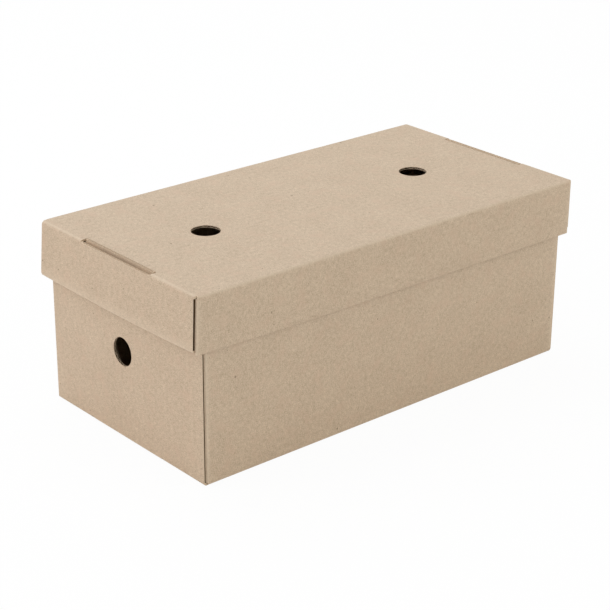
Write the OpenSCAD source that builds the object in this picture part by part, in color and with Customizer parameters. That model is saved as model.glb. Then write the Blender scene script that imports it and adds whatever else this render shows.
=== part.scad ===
// Lidded box folded from two sheets of corrugated board, in millimetres, +Z up.
// The origin is at the centre of the tray's underside, with X along the length.
// Each sheet has a floor, two long walls that end in dust flaps, and two rolled end walls.
// The end panel stands outside the flaps, turns over at the rim and comes down inside them,
// where its tab locks into a slot of the floor. The lid is such a sheet turned upside down.

/* [Board] */
// Thickness of the corrugated board
board = 1.6; // [1.2:0.1:2.4]
// Inner radius of a fold
fold_in = 0.5; // [0.4:0.1:1.4]
// Room between neighbouring layers of a rolled end wall
layer_gap = 0.4; // [0.4:0.1:1.5]
// Width of the relief cuts between parts of a sheet
relief = 0.3; // [0.3:0.1:1]

/* [Tray] */
// Outside length of the tray
tray_l = 323; // [270:1:420]
// Outside width of the tray
tray_w = 168; // [130:1:240]
// Outside height of the tray
tray_h = 130.6; // [100:0.1:200]
// Step from a long wall's face to the cut edge of the tray's end panel
tray_edge_step = 1.2; // [0.1:0.1:4]

/* [Lid] */
// Depth of the lid's skirt
lid_skirt = 40; // [25:1:60]
// Clearance between each tray end and the lid's end wall
lid_end_clear = 2.8; // [0.5:0.1:4]
// Clearance between each long wall of the tray and the lid's skirt
lid_side_clear = 0.65; // [0.3:0.05:2]
// Height of the lid's top panel over the tray's rim
lid_rest_gap = 0.2; // [0.1:0.05:1]
// Step from a long skirt's face to the cut edge of the lid's end panel
lid_edge_step = 2; // [0.1:0.1:6]
// Step from the lower edge of the long skirts up to the rim of the lid's ends
lid_rim_step = 1.2; // [0:0.1:3]

/* [Flaps and locks] */
// Distance from a dust flap's free edge to the edge of the end hole
flap_hole_clear = 10; // [2:1:25]
// Corner radius of a dust flap's free edge
flap_corner_r = 6; // [2:0.5:10]
// Clearance from flaps and inner panels to the parts that they face at their edges
edge_clear = 0.8; // [0.4:0.1:2]
// Length of a locking slot along the end
slot_l = 77; // [40:1:100]
// Room in a slot between the tab and the far cut edge
slot_clear = 0.4; // [0.4:0.1:3]
// Corner radius of a slot
slot_corner_r = 2; // [0.5:0.1:2.5]
// Room between each end of a tab and the end of its slot
tab_end_clear = 1.6; // [0.5:0.1:5]
// Depth of a tab's tip below the outer face
tab_recess = 0.1; // [0.1:0.1:1]

/* [Holes] */
// Diameter of the finger and air holes
hole_d = 20; // [12:0.5:30]
// Height of the end holes over the tray's underside
end_hole_z = 65; // [40:1:75]
// Extra diameter of the hole in the inner end panel
inner_hole_extra = 16; // [2:1:16]
// Distance between the two holes in the lid
lid_hole_pitch = 188; // [80:1:220]

/* [Hidden] */
$fn = 64;
kraft = "#c9b294";

// How far a cutting shape reaches past the board
over = 1;

// Outer radius of a fold
fold_out = fold_in + board;

// Thickness of a rolled end wall: end panel, dust flap and inner panel
end_wall = 3 * board + 2 * layer_gap;

// Distance from the end's outer face to a dust flap's outer face
flap_set_in = board + layer_gap;

// Distance from the middle plane to a dust flap's free edge
flap_end = hole_d / 2 + flap_hole_clear;

// Distance from the end's outer face to the far edge of a locking slot
slot_reach = end_wall + slot_clear;

// Beside a slot the end panel isn't bent: it stands straight up to the middle of the crease
lip_drop = fold_out - (fold_in + board / 2) * PI / 4;

// Lid sizes that follow the tray
lid_l = tray_l + 2 * (end_wall + lid_end_clear);
lid_w = tray_w + 2 * (board + lid_side_clear);
lid_top = tray_h + lid_rest_gap + board;

// Places its children at the +X end and, mirrored, at the other end
module both_ends() {
    for (turn = [0, 1])
        mirror([turn, 0, 0])
            children();
}

// Turns a section drawn in X and Z into a sheet of the given width, centred on Y
module across(width) {
    rotate([90, 0, 0])
        linear_extrude(width, center = true)
            children();
}

// Turns a section drawn in Y and Z into a sheet of the given length, centred on X
module along(length) {
    rotate([90, 0, 90])
        linear_extrude(length, center = true)
            children();
}

// Upright outline w wide and h high on the X axis, with its two lower corners round
module trough_outline(w, h, r) {
    translate([-w / 2, r])
        square([w, h - r]);
    translate([r - w / 2, 0])
        square([w - 2 * r, h]);
    for (side = [-1, 1])
        translate([side * (w / 2 - r), r])
            circle(r = r);
}

// Section of the floor, the two long walls and the folds between them, in Y and Z
module trough_section(w, h) {
    difference() {
        trough_outline(w, h, fold_out);
        translate([0, board])
            trough_outline(w - 2 * board, h, fold_in);
    }
}

// The same section with only the floor and its folds
module trough_foot_section(w, h) {
    intersection() {
        trough_section(w, h);
        translate([-w / 2, 0])
            square([w, fold_out]);
    }
}

// Outline l by w about the origin, with four round corners
module round_outline(l, w, r) {
    square([l, w - 2 * r], center = true);
    square([l - 2 * r, w], center = true);
    for (x = [-1, 1], y = [-1, 1])
        translate([x * (l / 2 - r), y * (w / 2 - r)])
            circle(r = r);
}

// Gap between the free edges of two dust flaps, in Y and Z: what the round-cornered flaps leave open
module flap_gap_section(low, high) {
    r = flap_corner_r;
    difference() {
        translate([-flap_end - r, low - over])
            square([2 * (flap_end + r), high - low + 2 * over]);
        for (side = [-1, 1]) {
            translate([side * (flap_end + r) - r, low + r])
                square([2 * r, high - low - 2 * r]);
            for (z = [low + r, high - r])
                translate([side * (flap_end + r), z])
                    circle(r = r);
        }
    }
}

// Band that runs round the inside of the end panels: long walls, upright folds and dust flaps
module flap_band(l, w, h) {
    low = fold_out + relief;
    high = h - board - edge_clear;
    band_l = l - 2 * flap_set_in;
    difference() {
        translate([0, 0, low])
            linear_extrude(high - low)
                difference() {
                    round_outline(band_l, w, fold_out);
                    round_outline(band_l - 2 * board, w - 2 * board, fold_in);
                }
        along(l)
            flap_gap_section(low, high);
    }
}

// Outline of a rolled wall from its inner foot, with a square foot and three round corners
module rolled_outline(w, h, r) {
    square([w - r, h - r]);
    translate([r, r])
        square([w - r, h - 2 * r]);
    translate([r, 0])
        square([w - 2 * r, h]);
    for (corner = [[w - r, r], [w - r, h - r], [r, h - r]])
        translate(corner)
            circle(r = r);
}

// Section of the +X rolled end wall, in X and Z: end panel, rim, inner panel and the floor between,
// with the inner panel's lower edge clear of the floor
module rolled_section(l, h) {
    translate([l / 2 - end_wall, 0])
        difference() {
            rolled_outline(end_wall, h, fold_out);
            translate([board, board])
                rolled_outline(end_wall - 2 * board, h - 2 * board, fold_in);
            translate([-over, board])
                square([over + board + layer_gap / 2, edge_clear]);
        }
}

// The same section with only the end panel and the fold at its foot
module end_panel_section(l, h) {
    intersection() {
        rolled_section(l, h);
        translate([l / 2 - fold_out, 0])
            square([fold_out, h - fold_out]);
    }
}

// Slot at the +X end: it opens the floor and the crease, and its far corners are round
module lock_slot(l) {
    far_x = l / 2 - slot_reach;
    straight = slot_l - 2 * slot_corner_r;
    translate([0, 0, -over])
        linear_extrude(fold_out + over) {
            translate([far_x, -straight / 2])
                square([slot_reach, straight]);
            translate([far_x + slot_corner_r, -slot_l / 2])
                square([slot_reach - slot_corner_r + over, slot_l]);
            for (side = [-1, 1])
                translate([far_x + slot_corner_r, side * straight / 2])
                    circle(r = slot_corner_r);
        }
}

// Straight lip of the end panel beside the +X slot, and the part of the panel that carries it
module slot_lip(l) {
    lip_l = slot_l - 2 * relief;
    translate([l / 2 - board, -lip_l / 2, lip_drop])
        cube([board, lip_l, 2 * fold_out - lip_drop]);
}

// Tab of the +X inner panel, which stands in the slot, and the part of the panel that carries it
module lock_tab(l) {
    tab_l = slot_l - 2 * tab_end_clear;
    translate([l / 2 - end_wall, -tab_l / 2, tab_recess])
        cube([board, tab_l, 2 * fold_out - tab_recess]);
}

// One folded sheet, open side up, its outer faces l by w by h, its rolled ends lower by rim_step
module folded_sheet(l, w, h, edge_step, rim_step) {
    end_h = h - rim_step;
    inner_w = w - 2 * max(edge_step, board + edge_clear);
    floor_l = l - 2 * fold_out;
    floor_w = w - 2 * fold_out;
    difference() {
        union() {
            along(l - 2 * (flap_set_in + fold_out))
                trough_section(w, h);
            along(l - 2 * (fold_out + relief))
                trough_foot_section(w, h);
            translate([-floor_l / 2, -floor_w / 2, 0])
                cube([floor_l, floor_w, board]);
            flap_band(l, w, end_h);
            both_ends() {
                across(w - 2 * edge_step)
                    end_panel_section(l, end_h);
                across(inner_w)
                    rolled_section(l, end_h);
            }
        }
        both_ends()
            lock_slot(l);
    }
    both_ends() {
        slot_lip(l);
        lock_tab(l);
    }
}

// Round hole through the +X end wall of the tray, wider in the inner panel
module end_hole() {
    translate([tray_l / 2 + over, 0, end_hole_z])
        rotate([0, -90, 0])
            cylinder(d = hole_d, h = end_wall + 2 * over);
    translate([tray_l / 2 - end_wall + board + layer_gap / 2, 0, end_hole_z])
        rotate([0, -90, 0])
            cylinder(d = hole_d + inner_hole_extra, h = board + layer_gap / 2 + over);
}

// Round hole through the lid's top panel, on the +X half
module lid_hole() {
    translate([lid_hole_pitch / 2, 0, lid_top - board - over])
        cylinder(d = hole_d, h = board + 2 * over);
}

module tray() {
    color(kraft)
        difference() {
            folded_sheet(tray_l, tray_w, tray_h, tray_edge_step, 0);
            both_ends()
                end_hole();
        }
}

module lid() {
    color(kraft)
        difference() {
            translate([0, 0, lid_top])
                mirror([0, 0, 1])
                    folded_sheet(lid_l, lid_w, lid_skirt, lid_edge_step, lid_rim_step);
            both_ends()
                lid_hole();
        }
}

tray();
lid();
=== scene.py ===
"""Looks of a lidded box folded from corrugated board.

Each sheet starts as a flat blank of board in millimetres. It is cut, fluted at its cut edges and then
folded, so it ends as one closed mesh with the creases, slots and holes of the solid that it stands for.
"""

import logging
import math
from dataclasses import dataclass, field
from enum import Enum
from typing import Callable, Iterator, Sequence

import bmesh
import bpy
from mathutils import Matrix, Vector, noise


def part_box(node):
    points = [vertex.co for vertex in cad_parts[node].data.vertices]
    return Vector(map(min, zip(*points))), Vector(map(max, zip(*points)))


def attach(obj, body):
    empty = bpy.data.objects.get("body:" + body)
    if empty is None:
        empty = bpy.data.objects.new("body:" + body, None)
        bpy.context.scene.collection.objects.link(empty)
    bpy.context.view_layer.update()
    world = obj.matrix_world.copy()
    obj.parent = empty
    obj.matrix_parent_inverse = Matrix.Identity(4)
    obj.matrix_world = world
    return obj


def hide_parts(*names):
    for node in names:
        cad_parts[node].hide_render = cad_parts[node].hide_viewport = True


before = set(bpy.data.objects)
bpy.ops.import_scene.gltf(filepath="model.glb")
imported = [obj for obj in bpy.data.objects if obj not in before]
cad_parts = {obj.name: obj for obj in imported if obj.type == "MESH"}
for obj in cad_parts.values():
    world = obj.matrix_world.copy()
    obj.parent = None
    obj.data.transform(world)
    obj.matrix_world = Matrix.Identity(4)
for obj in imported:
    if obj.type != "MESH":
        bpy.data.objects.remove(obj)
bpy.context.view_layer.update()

LOG = logging.getLogger("box")
MM = 0.001
TINY = 1e-4
BOX_DIGITS = 2
BEVEL_FIT = 0.98
SHARP_ANGLE = math.radians(35)
INSIDE_SHIFT = 0.9
MIDDLE = 0.5
WHITE = (1.0, 1.0, 1.0, 1.0)
UV_NAME = "blank"
# Vertex values of the whitened creases with their painted highlight
WHITENING_AND_HIGHLIGHT_NAME = "crease"

Value = "Wire | float"
Colour = tuple[float, float, float, float]


@dataclass(frozen=True)
class Board:
    """Corrugated board, how it folds and how its flutes show at a cut, in millimetres."""

    thickness: float = 1.6
    fold_in: float = 0.5
    layer_gap: float = 0.4
    relief: float = 0.3
    edge_clear: float = 0.8
    liner: float = 0.25
    medium: float = 0.2
    # Upright folds of the dust flaps
    flap_gap: float = 0.15
    flap_mid: float = 0.9
    flap_relief: float = 0.05
    # Flutes that a cut opens, with shares and rooms taken of their pitch
    pitch: float = 3.2
    open_share: float = 0.85
    bend_shares: tuple[float, ...] = (-0.25, -0.12, 0.0, 0.12, 0.25)
    roof_share: float = 0.42
    channel_room: float = 0.45
    hole_room: float = 0.75
    channel_depth: float = 3.0
    pressed_depth: float = 0.45
    # Grooves along cuts that run beside the flutes, and how far a cutting bar reaches past an edge
    groove_depth: float = 3.0
    groove_inset: float = 0.4
    rim_inset: float = 1.0
    over: float = 0.4
    # Where a crease is palest, with whitened fibres and a painted highlight, as a share of half its fold,
    # and how far that paleness reaches
    foot_mark: float = 0.4
    rim_mark: float = 0.5
    whitening_and_highlight_reach: float = 0.65
    # Grid of the mesh
    fold_cuts: int = 6
    cell: float = 8.0

    @property
    def fold_out(self) -> float:
        """Outer radius of a fold."""
        return self.fold_in + self.thickness

    @property
    def fold_mid(self) -> float:
        """Radius of a fold at the middle of the board."""
        return self.fold_in + self.thickness / 2

    @property
    def fold_run(self) -> float:
        """Length of flat board that one right-angle fold takes up."""
        return self.fold_mid * math.pi / 2

    @property
    def flap_out(self) -> float:
        """Outer radius of the upright fold of a dust flap."""
        return self.flap_mid + self.thickness / 2

    @property
    def flap_run(self) -> float:
        """Length of flat board that the upright fold of a dust flap takes up."""
        return self.flap_mid * math.pi / 2

    @property
    def end_wall(self) -> float:
        """Thickness of a rolled end wall."""
        return 3 * self.thickness + 2 * self.layer_gap

    @property
    def flap_set_in(self) -> float:
        """Distance from an end's outer face to a dust flap's outer face."""
        return self.thickness + self.flap_gap

    @property
    def channel_half(self) -> float:
        """Half the width of an open channel at its liner."""
        return self.roof_share * self.open_share * self.pitch

    def channel_outline(self, centre: float, upper: bool) -> list[tuple[float, float]]:
        """Draws the section of one open channel beside the wavy medium.

        Args:
            centre: place of the channel across the flutes.
            upper: whether the channel lies against the inner liner.

        Returns:
            Corners as pairs of place across the flutes and depth in the board.
        """
        swing = (self.thickness - 2 * self.liner - self.medium) / 2
        corners = []
        for share in self.bend_shares:
            floor = self.thickness / 2 - swing * math.cos(2 * math.pi * share) + self.medium / 2
            corners.append((share, floor))
        roof = self.thickness - self.liner
        corners = [(-self.roof_share, roof)] + corners + [(self.roof_share, roof)]
        if not upper:
            corners = [(share, self.thickness - depth) for share, depth in corners]
        width = self.open_share * self.pitch
        return [(centre + share * width, depth) for share, depth in corners]


@dataclass(frozen=True)
class FoldPath:
    """Middle line of a folded strip: straight runs with right-angle turns to the left between them."""

    runs: tuple[float, ...]
    radius: float

    def locate(self, along: float, shift: float) -> tuple[float, float]:
        """Finds where a point of the flat strip goes when the strip is folded.

        Args:
            along: distance from the start of the strip.
            shift: distance to the left of the middle line.

        Returns:
            The two coordinates in the plane of the path.
        """
        x, y, heading = 0.0, 0.0, 0.0
        last = len(self.runs) - 1
        for index, run in enumerate(self.runs):
            step = along if index == last else min(along, run)
            x += step * math.cos(heading)
            y += step * math.sin(heading)
            along -= step
            if along <= 0:
                break
            turned = min(along, self.radius * math.pi / 2)
            centre_x = x - self.radius * math.sin(heading)
            centre_y = y + self.radius * math.cos(heading)
            heading += turned / self.radius
            x = centre_x + self.radius * math.sin(heading)
            y = centre_y - self.radius * math.cos(heading)
            along -= turned
        return x - shift * math.sin(heading), y + shift * math.cos(heading)


@dataclass(frozen=True)
class Hole:
    """Round hole in a blank, on its long middle line, in a square that the grid leaves open."""

    along: float
    radius: float
    margin: float = 4.0
    segments: int = 64

    @property
    def half(self) -> float:
        """Half the side of the square."""
        return self.radius + self.margin

    def covers(self, u: float, v: float) -> bool:
        """Tells whether a place lies in the square of this hole or of its twin at the other end."""
        return abs(abs(u) - self.along) < self.half and abs(v) < self.half


class Panel(Enum):
    """Parts of a blank that fold in different ways."""

    FLOOR = "floor"
    LONG_WALL = "long wall"
    DUST_FLAP = "dust flap"
    END_WALL = "end wall"
    SLOT_LIP = "slot lip"


class Face(Enum):
    """Material slots of a sheet."""

    LINER = 0
    CUT_EDGE = 1
    # Dark material that paints the shade deep inside open flutes
    FLUTE_PAINTED_SHADE = 2


def spread(stops: Sequence[float], cell: float, folds: Sequence[tuple[float, float]] = (),
           cuts: int = 1) -> list[float]:
    """Fills the stretches between stops with evenly spaced grid lines.

    Args:
        stops: places that need a line.
        cell: longest stretch without a line.
        folds: stretches that will be bent, given by their two ends.
        cuts: number of cells in a stretch that will be bent.

    Returns:
        All lines in rising order.
    """
    ordered: list[float] = []
    for stop in sorted(stops):
        if not ordered or stop - ordered[-1] > TINY:
            ordered.append(stop)
    lines = [ordered[0]]
    for low, high in zip(ordered, ordered[1:]):
        bent = any(abs(low - a) < TINY and abs(high - b) < TINY for a, b in folds)
        count = cuts if bent else max(1, math.ceil((high - low) / cell - TINY))
        lines += [low + (high - low) * (i + 1) / count for i in range(count)]
    return lines


def ease(value: float, start: float, stop: float) -> float:
    """Rises smoothly from 0 at the start to 1 at the stop."""
    share = min(1.0, max(0.0, (value - start) / (stop - start)))
    return share * share * (3 - 2 * share)


def waver(u: float, v: float, scale: float, seed: float) -> float:
    """Gives smooth noise from -1 to 1 at a place of the blank."""
    return noise.noise(Vector((u * scale, v * scale, seed)))


def both_ways(half: Sequence[float]) -> list[float]:
    """Mirrors grid lines that start at zero to the negative side."""
    return [-x for x in reversed(half) if x > TINY] + list(half)


def lay_cells(shape: bmesh.types.BMesh, us: Sequence[float], vs: Sequence[float],
              keep: Callable[[float, float], bool]) -> None:
    """Adds a flat grid of cells and drops those that are waste.

    Args:
        shape: mesh that gets the cells.
        us: lines along the box's length, in rising order.
        vs: lines across it, in rising order.
        keep: tells from a cell's middle, taken without signs, whether it stays.
    """
    made = bmesh.ops.create_grid(shape, x_segments=len(us) - 1, y_segments=len(vs) - 1, size=1.0)
    faces = set()
    for vert in made["verts"]:
        i = round((vert.co.x + 1) / 2 * (len(us) - 1))
        j = round((vert.co.y + 1) / 2 * (len(vs) - 1))
        vert.co = (us[i], vs[j], 0.0)
        faces.update(vert.link_faces)
    waste = []
    for face in faces:
        middle = face.calc_center_median()
        if not keep(abs(middle.x), abs(middle.y)):
            waste.append(face)
    bmesh.ops.delete(shape, geom=waste, context="FACES")


def punch(shape: bmesh.types.BMesh, hole: Hole, sign: int) -> None:
    """Fills an open square of the grid with board around a round hole.

    Args:
        shape: flat blank.
        hole: the hole's sizes.
        sign: which end of the blank it is at, 1 or -1.
    """
    centre = Vector((sign * hole.along, 0.0, 0.0))

    def on_square(vert: bmesh.types.BMVert) -> bool:
        """Tells whether a corner lies on the edge of the open square."""
        offset = vert.co - centre
        return abs(max(abs(offset.x), abs(offset.y)) - hole.half) < TINY

    border = [edge for edge in shape.edges if edge.is_boundary and all(on_square(v) for v in edge.verts)]
    ring = bmesh.ops.create_circle(shape, cap_ends=False, segments=hole.segments, radius=hole.radius,
                                   matrix=Matrix.Translation(centre))
    ring_edges = {edge for vert in ring["verts"] for edge in vert.link_edges}
    bmesh.ops.bridge_loops(shape, edges=border + list(ring_edges))


def add_bar(shape: bmesh.types.BMesh, outline: Sequence[tuple[float, float]], start: float,
            end: float) -> None:
    """Adds a closed straight bar along the flutes.

    Args:
        shape: mesh that gets the bar.
        outline: section as pairs of place across the flutes and depth in the board.
        start: where the bar begins.
        end: where it ends.
    """
    ring = [shape.verts.new((start, across, depth)) for across, depth in outline]
    made = bmesh.ops.extrude_face_region(shape, geom=[shape.faces.new(ring)])
    moved = [item for item in made["geom"] if isinstance(item, bmesh.types.BMVert)]
    bmesh.ops.translate(shape, verts=moved, vec=(end - start, 0.0, 0.0))


def as_object(name: str, shape: bmesh.types.BMesh) -> bpy.types.Object:
    """Makes a linked object from a mesh in work.

    Args:
        name: name of the object and of its mesh.
        shape: mesh in work, which is used up.

    Returns:
        The object.
    """
    mesh = bpy.data.meshes.new(name)
    shape.to_mesh(mesh)
    shape.free()
    made = bpy.data.objects.new(name, mesh)
    bpy.context.scene.collection.objects.link(made)
    return made


def cut_bars(solid: bmesh.types.BMesh, bars: bmesh.types.BMesh) -> bmesh.types.BMesh:
    """Takes bars out of a solid.

    Args:
        solid: closed mesh, which is used up.
        bars: closed bars, which are used up.

    Returns:
        The mesh that is left.
    """
    bmesh.ops.recalc_face_normals(bars, faces=bars.faces[:])
    body = as_object("blank_in_work", solid)
    tool = as_object("bars_in_work", bars)
    modifier = body.modifiers.new("bars", "BOOLEAN")
    modifier.object = tool
    modifier.operation = "DIFFERENCE"
    modifier.solver = "EXACT"
    bpy.context.view_layer.update()
    graph = bpy.context.evaluated_depsgraph_get()
    left = bpy.data.meshes.new_from_object(body.evaluated_get(graph))
    result = bmesh.new()
    result.from_mesh(left)
    spare = [body.data, tool.data, left]
    bpy.data.objects.remove(body)
    bpy.data.objects.remove(tool)
    for mesh in spare:
        bpy.data.meshes.remove(mesh)
    return result


@dataclass
class FoldedSheet:
    """One sheet of board, die-cut, folded and locked at both ends, in millimetres.

    A place on the flat blank is given by u along the length and v across it, both from the middle.
    """

    name: str
    node: str
    edge_step: float
    rim_step: float = 0.0
    flap_end: float = 20.0
    flap_corner: float = 6.0
    flap_corner_cuts: int = 6
    slot_half: float = 38.5
    slot_clear: float = 0.4
    slot_corner: float = 2.0
    slot_corner_cuts: int = 5
    tab_gap: float = 1.6
    tab_recess: float = 0.1
    grain_shift: float = 0.0
    front_side: int = -1
    seam_open: float = 1.0
    board: Board = field(default_factory=Board)
    holes: list[Hole] = field(default_factory=list)

    def __post_init__(self) -> None:
        """Takes the size of the sheet's solid and works out where folds and cuts lie on the blank."""
        low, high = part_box(self.node)
        self.length, self.width, self.height = (round(side / MM, BOX_DIGITS) for side in high - low)
        self.top = round(high.z / MM, BOX_DIGITS)
        board = self.board
        fold_out, run = board.fold_out, board.fold_run
        rim = self.height - self.rim_step
        self.wall_half = self.length / 2 - board.flap_set_in - board.flap_out
        self.fold_half = self.length / 2 - fold_out - board.relief
        self.floor_half = self.length / 2 - fold_out
        self.slot_far = self.length / 2 - board.end_wall - self.slot_clear
        self.crease_mid = self.floor_half + run / 2
        self.panel_low = self.floor_half + run
        self.panel_high = self.panel_low + rim - 2 * fold_out
        self.rim_outer = self.panel_high + run
        self.rim_inner = self.rim_outer + board.end_wall - 2 * fold_out
        self.inner_high = self.rim_inner + run
        self.inner_low = self.inner_high + rim - fold_out - board.thickness - board.edge_clear
        self.tab_tip = self.inner_low + board.thickness + board.edge_clear - self.tab_recess
        self.flap_fold = self.wall_half + board.flap_run
        self.flap_tip = self.flap_fold + self.width / 2 - board.flap_out - self.flap_end
        self.floor_side = self.width / 2 - fold_out
        self.wall_foot = self.floor_side + run
        self.wall_top = self.wall_foot + self.height - fold_out
        self.flap_low = self.wall_foot + board.flap_relief
        self.flap_high = self.wall_foot + rim - board.thickness - board.edge_clear - fold_out
        self.end_half = self.width / 2 - self.edge_step
        self.inner_half = self.width / 2 - max(self.edge_step, board.thickness + board.edge_clear)
        self.lip_half = self.slot_half - board.relief
        self.tab_half = self.slot_half - self.tab_gap
        self.end_path = FoldPath((self.floor_half, rim - 2 * fold_out, board.end_wall - 2 * fold_out, 0.0),
                                 board.fold_mid)
        self.side_path = FoldPath((self.floor_side, 0.0), board.fold_mid)
        self.flap_path = FoldPath((self.wall_half, 0.0), board.flap_mid)

    def in_hole(self, u: float, v: float) -> bool:
        """Tells whether a place lies in the square of any hole."""
        return any(hole.covers(u, v) for hole in self.holes)

    def keeps_floor(self, u: float, v: float) -> bool:
        """Tells whether the floor or its end creases have board at a place.

        Args:
            u: unsigned place along the length.
            v: unsigned place across it.

        Returns:
            True where there is board.
        """
        if self.in_hole(u, v):
            return False
        if u > self.floor_half:
            return self.slot_half < v < self.end_half
        return v < self.floor_side and not (u > self.slot_far and v < self.slot_half)

    def keeps_end(self, u: float, v: float) -> bool:
        """Tells whether an end panel, its lip, its roll or its tab has board at a place.

        Args:
            u: unsigned place along the length.
            v: unsigned place across it.

        Returns:
            True where there is board.
        """
        if self.in_hole(u, v):
            return False
        if u < self.panel_low:
            return v < self.lip_half
        if u < self.panel_high:
            return v < self.end_half
        return v < (self.inner_half if u < self.inner_low else self.tab_half)

    def keeps_wall(self, u: float, v: float) -> bool:
        """Tells whether a long wall or its foot crease has board at a place."""
        return u < (self.fold_half if v < self.wall_foot else self.wall_half)

    def floor_lines(self) -> list[float]:
        """Gives the lines along the length that floor and long walls share.

        Returns:
            The lines from the middle to one end.
        """
        stops = [0.0, self.slot_far, self.wall_half, self.fold_half]
        for hole in self.holes:
            if hole.along < self.slot_far:
                stops += [hole.along - hole.half, hole.along + hole.half]
        return spread(stops, self.board.cell)

    def lay_floor(self, shape: bmesh.types.BMesh) -> None:
        """Lays the floor with its end creases.

        Args:
            shape: flat blank in work.
        """
        board = self.board
        us = spread(self.floor_lines() + [self.floor_half, self.panel_low], board.cell,
                    [(self.floor_half, self.panel_low)], board.fold_cuts)
        stops = [0.0, self.slot_half, self.end_half, self.inner_half, self.floor_side]
        stops += [hole.half for hole in self.holes if hole.along < self.slot_far]
        lay_cells(shape, both_ways(us), both_ways(spread(stops, board.cell)), self.keeps_floor)

    def lay_ends(self, shape: bmesh.types.BMesh) -> None:
        """Lays both end panels with their lips, rolls, inner panels and tabs.

        Args:
            shape: flat blank in work.
        """
        board = self.board
        us = [self.crease_mid, self.panel_low, self.panel_high, self.rim_outer, self.rim_inner,
              self.inner_high, self.inner_low, self.tab_tip]
        vs = [0.0, self.tab_half, self.lip_half, self.slot_half]
        for hole in self.holes:
            if hole.along > self.panel_low:
                us += [hole.along - hole.half, hole.along + hole.half]
                vs.append(hole.half)
        folds = [(self.panel_high, self.rim_outer), (self.rim_inner, self.inner_high)]
        us = spread(us, board.cell, folds, board.fold_cuts)
        outer = spread([self.slot_half, self.end_half, self.inner_half, self.floor_side], board.cell)
        vs = both_ways(spread(vs, board.cell) + outer[1:])
        lay_cells(shape, us, vs, self.keeps_end)
        lay_cells(shape, [-u for u in reversed(us)], vs, self.keeps_end)

    def lay_sides(self, shape: bmesh.types.BMesh) -> None:
        """Lays both long walls with their foot creases and dust flaps.

        On the front wall the upright folds run on past the flaps to the wall's rim.

        Args:
            shape: flat blank in work.
        """
        board = self.board
        corner = self.flap_corner
        vs = spread([self.floor_side, self.wall_foot, self.flap_low, self.flap_low + corner,
                     self.flap_high - corner, self.flap_high, self.wall_top], board.cell,
                    [(self.floor_side, self.wall_foot)], board.fold_cuts)
        flap_vs = [v for v in vs if self.flap_low - TINY < v < self.flap_high + TINY]
        flap_us = spread([self.wall_half, self.flap_fold, self.flap_tip - corner, self.flap_tip], board.cell,
                         [(self.wall_half, self.flap_fold)], board.fold_cuts)
        fold_us = [u for u in flap_us if u < self.flap_fold + TINY]
        rim_vs = [v for v in vs if v > self.flap_high - TINY]
        wall_us = both_ways(self.floor_lines())
        for side in (1, -1):
            lay_cells(shape, wall_us, sorted(side * v for v in vs), self.keeps_wall)
            parts = [(flap_us, flap_vs)]
            if side == self.front_side:
                parts.append((fold_us, rim_vs))
            for end in (1, -1):
                for part_us, part_vs in parts:
                    lay_cells(shape, sorted(end * u for u in part_us), sorted(side * v for v in part_vs),
                              lambda u, v: True)

    def round_flaps(self, shape: bmesh.types.BMesh) -> None:
        """Rounds the free corners of the dust flaps.

        Args:
            shape: flat blank in work.
        """
        corners = []
        for vert in shape.verts:
            at_tip = abs(abs(vert.co.x) - self.flap_tip) < TINY
            at_side = min(abs(abs(vert.co.y) - self.flap_low), abs(abs(vert.co.y) - self.flap_high)) < TINY
            if at_tip and at_side:
                corners.append(vert)
        bmesh.ops.bevel(shape, geom=corners, offset=self.flap_corner * BEVEL_FIT, offset_type="OFFSET",
                        segments=self.flap_corner_cuts, profile=0.5, affect="VERTICES", material=-1)

    def round_slots(self, shape: bmesh.types.BMesh) -> None:
        """Rounds the far corners of the locking slots.

        Args:
            shape: blank in work, with its thickness.
        """
        corners = []
        for edge in shape.edges:
            if all(abs(abs(vert.co.x) - self.slot_far) < TINY and abs(abs(vert.co.y) - self.slot_half) < TINY
                   for vert in edge.verts):
                corners.append(edge)
        bmesh.ops.bevel(shape, geom=corners, offset=self.slot_corner, offset_type="OFFSET",
                        segments=self.slot_corner_cuts, profile=0.5, affect="EDGES", material=-1)

    def channels(self, half: float) -> Iterator[tuple[float, list[tuple[float, float]]]]:
        """Gives the flute channels within a distance of the middle line.

        Args:
            half: how far from the middle line the channels may lie.

        Returns:
            Pairs of place across the flutes and section.
        """
        step = self.board.pitch / 2
        count = int((half - self.board.channel_room * self.board.pitch) / step)
        for index in range(-count, count + 1):
            yield index * step, self.board.channel_outline(index * step, index % 2 == 0)

    def flute_bars(self) -> bmesh.types.BMesh:
        """Makes the bars that open the flutes where cuts cross them or run beside them.

        Returns:
            A mesh of closed bars.
        """
        board = self.board
        bars = bmesh.new()
        pressed, over = board.pressed_depth, board.over
        for end in (1, -1):
            rows = [(self.slot_half - self.slot_corner, self.slot_far - pressed, self.slot_far + over),
                    (self.lip_half, self.crease_mid - over, self.crease_mid + pressed),
                    (self.tab_half, self.tab_tip - pressed, self.tab_tip + over)]
            for half, start, stop in rows:
                for _, outline in self.channels(half):
                    add_bar(bars, outline, end * start, end * stop)
            for hole in self.holes:
                for across, outline in self.channels(hole.radius + board.hole_room * board.pitch):
                    near = max(0.0, abs(across) - board.channel_half)
                    reach = math.sqrt(max(0.0, hole.radius ** 2 - near ** 2)) + board.channel_depth
                    add_bar(bars, outline, end * (hole.along - reach), end * (hole.along + reach))
        self.add_grooves(bars)
        return bars

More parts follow.
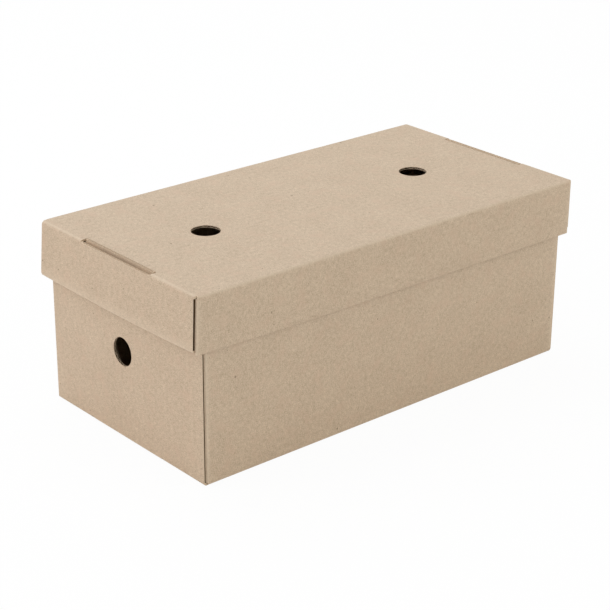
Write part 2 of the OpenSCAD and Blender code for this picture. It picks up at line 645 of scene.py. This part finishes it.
    def add_grooves(self, bars: bmesh.types.BMesh) -> None:
        """Adds the bars for cuts that run beside the flutes, apart from the shut seam of the front.

        Args:
            bars: mesh that gets the bars.
        """
        board = self.board
        middle = board.thickness / 2
        low, high = board.liner, board.thickness - board.liner
        narrow = self.seam_open * (middle - board.liner)
        rim_end = self.wall_half - board.rim_inset
        inset = board.groove_inset
        for side in (1, -1):
            grooves = [(self.wall_top, low, high, -rim_end, rim_end)]
            for end in (1, -1):
                if (end, side) != (1, self.front_side):
                    grooves.append((self.end_half, middle - narrow, middle + narrow,
                                    end * self.panel_low, end * self.panel_high))
                grooves.append((self.inner_half, low, high, end * (self.inner_high + inset),
                                end * (self.inner_low - inset)))
            for edge, lower, upper, start, stop in grooves:
                inside, outside = side * (edge - board.groove_depth), side * (edge + board.over)
                outline = [(inside, lower), (outside, lower), (outside, upper), (inside, upper)]
                add_bar(bars, outline, start, stop)

    def panel(self, u: float, v: float) -> Panel:
        """Tells which part of the blank a place belongs to.

        Args:
            u: unsigned place along the length.
            v: unsigned place across it.

        Returns:
            The part.
        """
        if u > self.floor_half - TINY and v < self.end_half + TINY:
            straight = u < self.panel_low - TINY and v < self.lip_half + TINY
            return Panel.SLOT_LIP if straight else Panel.END_WALL
        if v < self.floor_side + TINY:
            return Panel.FLOOR
        return Panel.DUST_FLAP if u > self.wall_half and v > self.wall_foot + TINY else Panel.LONG_WALL

    def crease_distance(self, u: float, v: float) -> float:
        """Measures how far a place lies from where the nearest crease is palest, with whitened fibres and a
        painted highlight.

        Args:
            u: unsigned place along the length.
            v: unsigned place across it.

        Returns:
            The distance on the flat blank.
        """
        board = self.board
        half_run = board.fold_run / 2
        part = self.panel(u, v)
        if part in (Panel.FLOOR, Panel.END_WALL, Panel.SLOT_LIP):
            foot = self.floor_half + board.foot_mark * half_run
            rim = self.panel_high + board.rim_mark * half_run
            near = min(abs(u - mark) for mark in (foot, rim, self.rim_inner + half_run))
            return min(near, self.floor_side + half_run - v) if part is Panel.FLOOR else near
        near = abs(v - self.floor_side - half_run)
        return min(near, abs(u - self.wall_half - board.flap_run / 2)) if v > self.wall_foot else near

    def sway(self, u: float, v: float) -> float:
        """Gives how far the board has moved inwards at a signed place of the blank."""
        return 0.0

    def fold(self, u: float, v: float, depth: float) -> Vector:
        """Finds where a point of the flat board goes in the folded sheet, open side up.

        Args:
            u: signed place along the length.
            v: signed place across it.
            depth: distance from the outer liner's face.

        Returns:
            The point in millimetres.
        """
        board = self.board
        half = board.thickness / 2
        shift = depth - half + self.sway(u, v)
        x, y = abs(u), abs(v)
        part = self.panel(x, y)
        if part is Panel.SLOT_LIP:
            z = board.fold_out - (self.panel_low - x)
            x = self.length / 2 - half - shift
        elif part in (Panel.FLOOR, Panel.END_WALL):
            x, z = self.end_path.locate(x, shift)
            z += half
        elif part is Panel.LONG_WALL:
            y, z = self.side_path.locate(y, shift)
            z += half
        else:
            z = self.side_path.locate(y, 0.0)[1] + half
            x, inward = self.flap_path.locate(x, shift)
            y = self.width / 2 - half - inward
        return Vector((math.copysign(x, u), math.copysign(y, v), z))

    def stand(self, point: Vector) -> Vector:
        """Turns a folded point into the box's frame."""
        return point

    def is_shaded(self, place: Vector) -> bool:
        """Tells whether an opened flute lies deep in shade and gets painted shade, as all do but those at
        the pressed slots.

        Args:
            place: middle of a face on the flat blank.

        Returns:
            True where the flute gets painted shade.
        """
        reach = self.board.channel_depth + self.board.pitch
        return abs(place.y) > self.slot_half or any(
            abs(abs(place.x) - hole.along) < hole.radius + reach for hole in self.holes)

    def dress(self, shape: bmesh.types.BMesh) -> None:
        """Gives a flat blank its material slots, with painted shade in deep flutes, its map and its crease
        values, which paint whitened creases with a painted highlight.

        Args:
            shape: cut blank with its thickness.
        """
        inner = self.board.thickness - TINY
        uv_layer = shape.loops.layers.uv.new(UV_NAME)
        whitening_and_highlight_layer = shape.verts.layers.float.new(WHITENING_AND_HIGHLIGHT_NAME)
        for face in shape.faces:
            depths = [vert.co.z for vert in face.verts]
            is_inside = min(depths) > inner
            if is_inside or max(depths) < TINY:
                kind = Face.LINER
            # Deep open flutes get a dark material as painted shade
            elif min(depths) > TINY and max(depths) < inner and self.is_shaded(face.calc_center_median()):
                kind = Face.FLUTE_PAINTED_SHADE
            else:
                kind = Face.CUT_EDGE
            face.material_index = kind.value
            offset = self.grain_shift + (INSIDE_SHIFT if is_inside else 0.0)
            for loop in face.loops:
                loop[uv_layer].uv = (loop.vert.co.x * MM + offset, loop.vert.co.y * MM + offset)
        # Crease values that paint whitened creases with a painted highlight
        for vert in shape.verts:
            gap = self.crease_distance(abs(vert.co.x), abs(vert.co.y))
            vert[whitening_and_highlight_layer] = math.exp(-(gap / self.board.whitening_and_highlight_reach) ** 2)

    def build(self, finishes: Sequence[bpy.types.Material]) -> bpy.types.Object:
        """Makes the sheet and puts it in the place of its CAD node.

        Args:
            finishes: materials of the liner, of the cut edges and of the painted shade inside deep flutes.

        Returns:
            The finished object.
        """
        shape = bmesh.new()
        self.lay_floor(shape)
        self.lay_ends(shape)
        self.lay_sides(shape)
        bmesh.ops.remove_doubles(shape, verts=shape.verts[:], dist=TINY)
        for hole in self.holes:
            for end in (1, -1):
                punch(shape, hole, end)
        self.round_flaps(shape)
        shape.normal_update()
        turned = [face for face in shape.faces if face.normal.z < 0]
        bmesh.ops.reverse_faces(shape, faces=turned)
        bmesh.ops.solidify(shape, geom=shape.faces[:], thickness=self.board.thickness)
        bmesh.ops.translate(shape, verts=shape.verts[:], vec=(0.0, 0.0, self.board.thickness))
        self.round_slots(shape)
        bmesh.ops.recalc_face_normals(shape, faces=shape.faces[:])
        shape = cut_bars(shape, self.flute_bars())
        self.dress(shape)
        for vert in shape.verts:
            vert.co = self.stand(self.fold(*vert.co)) * MM
        bmesh.ops.recalc_face_normals(shape, faces=shape.faces[:])
        open_edges = sum(1 for edge in shape.edges if not edge.is_manifold)
        piece = as_object(self.name, shape)
        piece.data.shade_smooth()
        piece.data.set_sharp_from_angle(angle=SHARP_ANGLE)
        for finish in finishes:
            piece.data.materials.append(finish)
        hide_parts(self.node)
        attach(piece, self.node)
        LOG.info("%s: %d faces, %d open edges", self.name, len(piece.data.polygons), open_edges)
        return piece


@dataclass
class Tray(FoldedSheet):
    """Deep open tray with a finger hole in each rolled end."""

    name: str = "tray_sheet"
    node: str = "tray"
    edge_step: float = 1.2
    seam_open: float = 0.7
    hole_height: float = 65.0
    hole_radius: float = 10.0
    inner_hole_radius: float = 18.0
    # The ends stand out in their middle, and the long walls wave
    end_bulge: float = 2.0
    bulge_start: float = 8.0
    wave: float = 0.3
    wave_scale: float = 0.011
    wave_seed: float = 4.2

    def __post_init__(self) -> None:
        """Adds the finger holes of the end panels and of the inner panels to the blank."""
        super().__post_init__()
        over_fold = self.hole_height - self.board.fold_out
        under_rim = self.height - self.rim_step - self.board.fold_out - self.hole_height
        self.holes = [Hole(self.panel_low + over_fold, self.hole_radius),
                      Hole(self.inner_high + under_rim, self.inner_hole_radius)]

    def sway(self, u: float, v: float) -> float:
        """Lets the long walls lie slightly uneven between foot and rim.

        Args:
            u: signed place along the length.
            v: signed place across it.

        Returns:
            How far the board has moved inwards.
        """
        if abs(v) > self.wall_foot and abs(u) < self.wall_half:
            rise = math.sin(math.pi * (abs(v) - self.wall_foot) / (self.wall_top - self.wall_foot))
            return self.wave * rise * waver(u, v, self.wave_scale, self.wave_seed)
        return 0.0

    def stand(self, point: Vector) -> Vector:
        """Lets the layers of a rolled end stand out together in the middle of the end.

        Args:
            point: folded point.

        Returns:
            The point in the box's frame.
        """
        reach = max(0.0, abs(point.x) - self.wall_half) / (self.length / 2 - self.wall_half)
        rise = math.sin(math.pi * min(1.0, max(0.0, point.z / self.height)))
        middle = 1 - (point.y / (self.width / 2)) ** 2
        push = self.end_bulge * min(1.0, reach * self.bulge_start) * rise ** 2 * max(0.0, middle)
        return Vector((point.x + math.copysign(push, point.x), point.y, point.z))


@dataclass
class Lid(FoldedSheet):
    """Lift-off lid, folded like the tray and turned upside down, with two holes in its top."""

    name: str = "lid_sheet"
    node: str = "lid"
    edge_step: float = 2.0
    rim_step: float = 1.2
    grain_shift: float = 2.3
    front_side: int = 1
    seam_open: float = 1.2
    hole_radius: float = 10.0
    hole_pitch: float = 188.0
    # One end leans in, with its top pinched to a side, its rim low and its front corner short
    lean: float = 2.3
    lean_from: float = 110.0
    pinch: float = 1.2
    pinch_from: float = 162.5
    corner_lift: float = 1.4
    lift_from: float = 60.0
    rim_sag: float = 0.8
    # Slow waves of the board and dents along its creases
    wave: float = 0.05
    wave_scale: float = 0.010
    wave_seed: float = 1.7
    dent: float = 0.06
    dent_scale: float = 0.06
    dent_seed: float = 9.1
    dent_reach: float = 4.0

    def __post_init__(self) -> None:
        """Adds the two holes to the blank."""
        super().__post_init__()
        self.holes = [Hole(self.hole_pitch / 2, self.hole_radius)]

    def sway(self, u: float, v: float) -> float:
        """Lets the lid lie slightly uneven, always on the inner side of its true faces.

        Args:
            u: signed place along the length.
            v: signed place across it.

        Returns:
            How far the board has moved inwards.
        """
        slow = waver(u, v, self.wave_scale, self.wave_seed)
        gap = self.crease_distance(abs(u), abs(v))
        dent = waver(u, v, self.dent_scale, self.dent_seed) * math.exp(-(gap / self.dent_reach) ** 2)
        return self.wave * (1 + slow) + self.dent * (1 + dent)

    def stand(self, point: Vector) -> Vector:
        """Turns the lid over and sets it on the tray, with the unevenness of one end.

        Args:
            point: folded point.

        Returns:
            The point in the box's frame.
        """
        low = point.z / self.height
        upright = max(0.0, 1 - low)
        side = point.y / (self.width / 2)
        end = ease(-point.x, self.pinch_from, self.length / 2)
        push = self.lean * upright * ease(-point.x, self.lean_from, self.slot_far)
        pinch = self.pinch * upright * end * side
        lift = self.corner_lift * ease(-point.x, self.lift_from, self.length / 2) * max(0.0, side) ** 2
        sag = self.rim_sag * end * max(0.0, 1 - side ** 2)
        return Vector((point.x + push, pinch - point.y, self.top - point.z + low * (lift - sag)))


class Wire:
    """Output of a shader node, with sums written as Python expressions."""

    def __init__(self, graph: "Graph", socket: bpy.types.NodeSocket) -> None:
        """Keeps the socket and the graph that it belongs to."""
        self.graph = graph
        self.socket = socket

    def math(self, operation: str, first: Value, second: Value) -> "Wire":
        """Adds one Math node with two values."""
        return self.graph.add("ShaderNodeMath", {"operation": operation}, {0: first, 1: second})

    def __add__(self, other: Value) -> "Wire":
        """Adds."""
        return self.math("ADD", self, other)

    def __radd__(self, other: Value) -> "Wire":
        """Adds to a number."""
        return self.math("ADD", other, self)

    def __sub__(self, other: Value) -> "Wire":
        """Subtracts."""
        return self.math("SUBTRACT", self, other)

    def __rsub__(self, other: Value) -> "Wire":
        """Subtracts from a number."""
        return self.math("SUBTRACT", other, self)

    def __mul__(self, other: Value) -> "Wire":
        """Multiplies."""
        return self.math("MULTIPLY", self, other)

    def __rmul__(self, other: Value) -> "Wire":
        """Multiplies a number."""
        return self.math("MULTIPLY", other, self)

    def __lt__(self, other: Value) -> "Wire":
        """Gives 1 where this value is smaller."""
        return self.math("LESS_THAN", self, other)

    def __gt__(self, other: Value) -> "Wire":
        """Gives 1 where this value is larger."""
        return self.math("GREATER_THAN", self, other)


@dataclass(frozen=True)
class Unevenness:
    """Noise of one fineness, in waves per metre, and how much it changes tone and relief."""

    along: float
    across: float
    detail: float
    rough: float
    tone: float
    relief: float = 0.0


@dataclass(frozen=True)
class PaperLook:
    """Sheen and relief of a paper surface, with the relief's depth in metres."""

    roughness: float
    specular: float
    relief: float
    depth: float


class Graph:
    """Node tree in work."""

    # Colour sockets of the Mix node, which share their names with others
    MIX_SHARE, MIX_FIRST, MIX_SECOND, MIX_RESULT = 0, 6, 7, 2

    def __init__(self, tree: bpy.types.NodeTree) -> None:
        """Starts from an empty tree."""
        self.tree = tree
        tree.nodes.clear()

    def add(self, kind: str, settings: dict[str, object], sockets: dict[str | int, object],
            output: str | int = 0) -> Wire:
        """Adds a node.

        Args:
            kind: the node's type.
            settings: its own settings, which are set first.
            sockets: values or wires of its inputs.
            output: which output is wanted.

        Returns:
            That output, or a wire without a socket for a node that has none.
        """
        node = self.tree.nodes.new(kind)
        for key, value in settings.items():
            setattr(node, key, value)
        for key, value in sockets.items():
            if isinstance(value, Wire):
                self.tree.links.new(value.socket, node.inputs[key])
            else:
                node.inputs[key].default_value = value
        return Wire(self, node.outputs[output] if node.outputs else None)

    def stretch(self, place: Wire, along: float, across: float) -> Wire:
        """Scales a place by different amounts along and across the blank."""
        return self.add("ShaderNodeMapping", {}, {"Vector": place, "Scale": (along, across, 1.0)})

    def uneven(self, place: Wire, layer: Unevenness) -> Wire:
        """Adds flat noise.

        Args:
            place: flat place on the blank.
            layer: fineness of the noise.

        Returns:
            The noise, from 0 to 1.
        """
        sockets = {"Vector": self.stretch(place, layer.along, layer.across), "Scale": 1.0,
                   "Detail": layer.detail, "Roughness": layer.rough}
        return self.add("ShaderNodeTexNoise", {"noise_dimensions": "2D"}, sockets)

    def blend(self, share: Value, first: object, second: object) -> Wire:
        """Mixes two colours."""
        sockets = {self.MIX_SHARE: share, self.MIX_FIRST: first, self.MIX_SECOND: second}
        return self.add("ShaderNodeMix", {"data_type": "RGBA"}, sockets, output=self.MIX_RESULT)

    def paper(self, colour: Wire, height: Wire, look: PaperLook) -> None:
        """Ends a material with a paper surface.

        Args:
            colour: base colour.
            height: relief from 0 to about 1.
            look: sheen and strength of the relief.
        """
        normal = self.add("ShaderNodeBump", {},
                          {"Strength": look.relief, "Distance": look.depth, "Height": height})
        surface = self.add("ShaderNodeBsdfPrincipled", {},
                           {"Base Color": colour, "Roughness": look.roughness,
                            "Specular IOR Level": look.specular, "Normal": normal})
        self.add("ShaderNodeOutputMaterial", {}, {"Surface": surface})


@dataclass(frozen=True)
class SpeckKind:
    """Specks of one kind: cells in a metre, size as a share of a cell, share of cells that hold one."""

    cells: float
    size: float
    share: float


@dataclass(frozen=True)
class KraftLiner:
    """Matt brown recycled liner with mottling, fibres, dark specks and paler creases: whitened fibres with a
    painted highlight.
    """

    dark: Colour = (0.410, 0.303, 0.205, 1.0)
    light: Colour = (0.740, 0.587, 0.437, 1.0)
    rosy: Colour = (0.610, 0.440, 0.318, 1.0)
    speck: Colour = (0.20, 0.135, 0.085, 1.0)
    # Whitened fibres and a painted highlight along the creases
    crease_whitening_and_highlight: Colour = (0.720, 0.585, 0.440, 1.0)
    crease_whitening_and_highlight_tone: float = 0.55
    cloud: Unevenness = Unevenness(42.0, 42.0, 3.0, 0.5, tone=0.2)
    mottle: Unevenness = Unevenness(330.0, 330.0, 2.0, 0.5, tone=0.5, relief=0.35)
    grain: Unevenness = Unevenness(1250.0, 1250.0, 2.0, 0.6, tone=1.25, relief=0.5)
    fibre: Unevenness = Unevenness(2400.0, 330.0, 2.0, 0.6, tone=0.7, relief=0.6)
    blush: Unevenness = Unevenness(95.0, 95.0, 2.0, 0.5, tone=1.6)
    speck_kinds: tuple[SpeckKind, ...] = (SpeckKind(58.0, 0.030, 0.10), SpeckKind(140.0, 0.040, 0.06))
    speck_squeeze: float = 0.8
    speck_least: float = 0.35
    speck_tone: float = 0.3
    speck_tone_range: float = 0.4
    look: PaperLook = PaperLook(roughness=0.75, specular=0.5, relief=0.25, depth=0.00012)

    def material(self) -> bpy.types.Material:
        """Makes the material.

        Returns:
            The material of both liner faces.
        """
        made = bpy.data.materials.new("kraft_liner")
        made.use_nodes = True
        graph = Graph(made.node_tree)
        place = graph.add("ShaderNodeUVMap", {"uv_map": UV_NAME}, {})
        shade, height = MIDDLE, 0.0
        for layer in (self.cloud, self.mottle, self.grain, self.fibre):
            value = graph.uneven(place, layer)
            shade = shade + layer.tone * (value - MIDDLE)
            height = height + layer.relief * value
        colour = graph.blend(shade, self.dark, self.light)
        blush = self.blush.tone * (graph.uneven(place, self.blush) - MIDDLE)
        colour = graph.blend(blush, colour, self.rosy)
        colour = graph.blend(self.specks(graph, place), colour, self.speck)
        # Paler creases: whitened fibres with a painted highlight along each fold
        crease = graph.add("ShaderNodeAttribute", {"attribute_name": WHITENING_AND_HIGHLIGHT_NAME}, {}, output="Fac")
        colour = graph.blend(self.crease_whitening_and_highlight_tone * crease, colour, self.crease_whitening_and_highlight)
        graph.paper(colour, height, self.look)
        return made

    def specks(self, graph: Graph, place: Wire) -> Wire:
        """Draws sparse dark specks of uneven size.

        Args:
            graph: tree in work.
            place: flat place on the blank.

        Returns:
            How much of a speck shows, 0 between the specks.
        """
        settings = {"voronoi_dimensions": "2D", "feature": "F1"}
        total = 0.0
        for kind in self.speck_kinds:
            bent = graph.stretch(place, kind.cells, kind.cells * self.speck_squeeze)
            sockets = {"Vector": bent, "Scale": 1.0}
            gap = graph.add("ShaderNodeTexVoronoi", settings, sockets, output="Distance")
            dice = graph.add("ShaderNodeTexVoronoi", settings, sockets, output="Color")
            chance = graph.add("ShaderNodeSeparateColor", {}, {"Color": dice}, output="Red")
            weight = graph.add("ShaderNodeSeparateColor", {}, {"Color": dice}, output="Green")
            inside = (chance < kind.share) * (gap < kind.size * (self.speck_least + weight))
            total = total + inside * (self.speck_tone + self.speck_tone_range * weight)
        return total


@dataclass(frozen=True)
class CutBoard:
    """Raw cut edge of the board: fuzzy liner ends and the medium between them; in dark colours, painted
    shade inside deep flutes.
    """

    name: str = "cut_board"
    dark: Colour = (0.51, 0.385, 0.265, 1.0)
    light: Colour = (0.79, 0.64, 0.49, 1.0)
    fuzz_scale: float = 1900.0
    fuzz_detail: float = 2.0
    contrast: float = 1.5
    look: PaperLook = PaperLook(roughness=0.95, specular=0.0, relief=0.4, depth=0.0001)

    def material(self) -> bpy.types.Material:
        """Makes the material.

        Returns:
            The material of the cut edges or of the painted shade inside the flutes.
        """
        made = bpy.data.materials.new(self.name)
        made.use_nodes = True
        graph = Graph(made.node_tree)
        place = graph.add("ShaderNodeTexCoord", {}, {}, output="Object")
        fuzz = graph.add("ShaderNodeTexNoise", {},
                         {"Vector": place, "Scale": self.fuzz_scale, "Detail": self.fuzz_detail})
        colour = graph.blend(MIDDLE + self.contrast * (fuzz - MIDDLE), self.dark, self.light)
        graph.paper(colour, fuzz, self.look)
        return made


@dataclass(frozen=True)
class SoftLight:
    """Large square lamp that points at the box, in metres and watts."""

    name: str
    place: tuple[float, float, float]
    size: float
    power: float
    colour: tuple[float, float, float]

    def build(self, target: Vector) -> None:
        """Adds the lamp.

        Args:
            target: point that it is turned to.
        """
        lamp = bpy.data.lights.new(self.name, "AREA")
        lamp.shape = "SQUARE"
        lamp.size = self.size
        lamp.energy = self.power
        lamp.color = self.colour
        holder = bpy.data.objects.new(self.name, lamp)
        holder.location = self.place
        holder.rotation_euler = (target - Vector(self.place)).to_track_quat("-Z", "Y").to_euler()
        bpy.context.scene.collection.objects.link(holder)


@dataclass(frozen=True)
class Studio:
    """White floor, in millimetres, and even studio light that is aimed at a point in metres."""

    sky: Colour = (1.0, 0.994, 0.95, 1.0)
    sky_strength: float = 0.672
    floor_half: float = 4000.0
    floor_drop: float = 0.2
    bay_half: tuple[float, float] = (157.0, 80.0)
    floor_white: float = 0.95
    floor_colour: Colour = (0.95, 0.95, 0.95, 1.0)
    aim: tuple[float, float, float] = (0.0, 0.0, 0.07)
    lights: tuple[SoftLight, ...] = (
        SoftLight("key", (-1.5, 0.8, 1.1), 1.2, 9.0, (1.0, 0.94, 0.959)),
        SoftLight("fill", (1.3, -2.0, 1.1), 1.6, 7.6, (1.0, 0.985, 0.90)),
        SoftLight("overhead", (0.15, 0.9, 1.6), 1.2, 9.6, (0.76, 0.87, 1.0)),
    )

    @staticmethod
    def seen(graph: Graph) -> Wire:
        """Tells what the camera sees straight, in a mirror or through glass.

        Args:
            graph: tree in work.

        Returns:
            1 for such a ray and 0 for others.
        """
        total = graph.add("ShaderNodeLightPath", {}, {}, output="Is Camera Ray")
        for output in ("Is Glossy Ray", "Is Transmission Ray"):
            part = graph.add("ShaderNodeLightPath", {}, {}, output=output)
            total = total.math("MAXIMUM", total, part)
        return total

    def build(self) -> None:
        """Adds the world, the floor and the lamps."""
        world = bpy.data.worlds.new("studio")
        bpy.context.scene.world = world
        world.use_nodes = True
        graph = Graph(world.node_tree)
        lit = graph.add("ShaderNodeBackground", {}, {"Color": self.sky, "Strength": self.sky_strength})
        white = graph.add("ShaderNodeBackground", {}, {"Color": WHITE, "Strength": 1.0})
        both = graph.add("ShaderNodeMixShader", {}, {0: self.seen(graph), 1: lit, 2: white})
        graph.add("ShaderNodeOutputWorld", {}, {"Surface": both})
        self.build_floor()
        for light in self.lights:
            light.build(Vector(self.aim))

    def build_floor(self) -> None:
        """Adds the floor, which looks white, keeps a faint shadow and is open under the box."""
        bay_x, bay_y = self.bay_half
        shape = bmesh.new()
        lay_cells(shape, [-self.floor_half, -bay_x, bay_x, self.floor_half],
                  [-self.floor_half, -bay_y, bay_y, self.floor_half], lambda u, v: u > bay_x or v > bay_y)
        bmesh.ops.translate(shape, verts=shape.verts[:], vec=(0.0, 0.0, -self.floor_drop))
        bmesh.ops.scale(shape, verts=shape.verts[:], vec=(MM, MM, MM))
        floor = as_object("studio_floor", shape)
        made = bpy.data.materials.new("studio_white")
        made.use_nodes = True
        graph = Graph(made.node_tree)
        matt = graph.add("ShaderNodeBsdfDiffuse", {}, {"Color": self.floor_colour})
        glow = graph.add("ShaderNodeEmission", {}, {"Color": WHITE, "Strength": 1.0})
        share = self.floor_white * self.seen(graph)
        above = graph.add("ShaderNodeMixShader", {}, {0: share, 1: matt, 2: glow})
        below = graph.add("ShaderNodeNewGeometry", {}, {}, output="Backfacing")
        clear = graph.add("ShaderNodeBsdfTransparent", {}, {})
        both = graph.add("ShaderNodeMixShader", {}, {0: below, 1: above, 2: clear})
        graph.add("ShaderNodeOutputMaterial", {}, {"Surface": both})
        floor.data.materials.append(made)


@dataclass(frozen=True)
class Viewpoint:
    """Camera at the photograph's viewing angle, in degrees and millimetres."""

    azimuth: float = 40.709
    elevation: float = 23.297
    roll: float = 0.428
    place: tuple[float, float, float] = (-762.50, -877.68, 553.77)
    lens: float = 105.653
    sensor: float = 36.0

    def build(self) -> None:
        """Adds the camera and makes it the scene's."""
        azimuth, elevation, roll = (math.radians(a) for a in (self.azimuth, self.elevation, self.roll))
        ahead = Vector((math.sin(azimuth) * math.cos(elevation), math.cos(azimuth) * math.cos(elevation),
                        -math.sin(elevation)))
        right = Vector((math.cos(azimuth), -math.sin(azimuth), 0.0))
        up = right.cross(ahead)
        tilted = math.cos(roll) * right + math.sin(roll) * up
        turn = Matrix((tilted, tilted.cross(ahead), -ahead)).transposed()
        camera = bpy.data.cameras.new("photo_view")
        camera.sensor_width = self.sensor
        camera.lens = self.lens
        holder = bpy.data.objects.new("photo_view", camera)
        holder.matrix_world = Matrix.Translation(Vector(self.place) * MM) @ turn.to_4x4()
        bpy.context.scene.collection.objects.link(holder)
        bpy.context.scene.camera = holder


def main() -> None:
    """Builds the camera, the studio and the box."""
    logging.basicConfig(level=logging.INFO, format="%(message)s")
    bpy.context.scene.view_settings.view_transform = "Standard"
    Viewpoint().build()
    Studio().build()
    # Dark colours that paint the shade inside deep flutes
    flutes = CutBoard(name="flute_painted_shade", dark=(0.10, 0.06, 0.03, 1.0), light=(0.20, 0.125, 0.07, 1.0))
    finishes = [KraftLiner().material(), CutBoard().material(), flutes.material()]
    for sheet in (Tray(), Lid()):
        sheet.build(finishes)


if __name__ == "__main__":
    main()
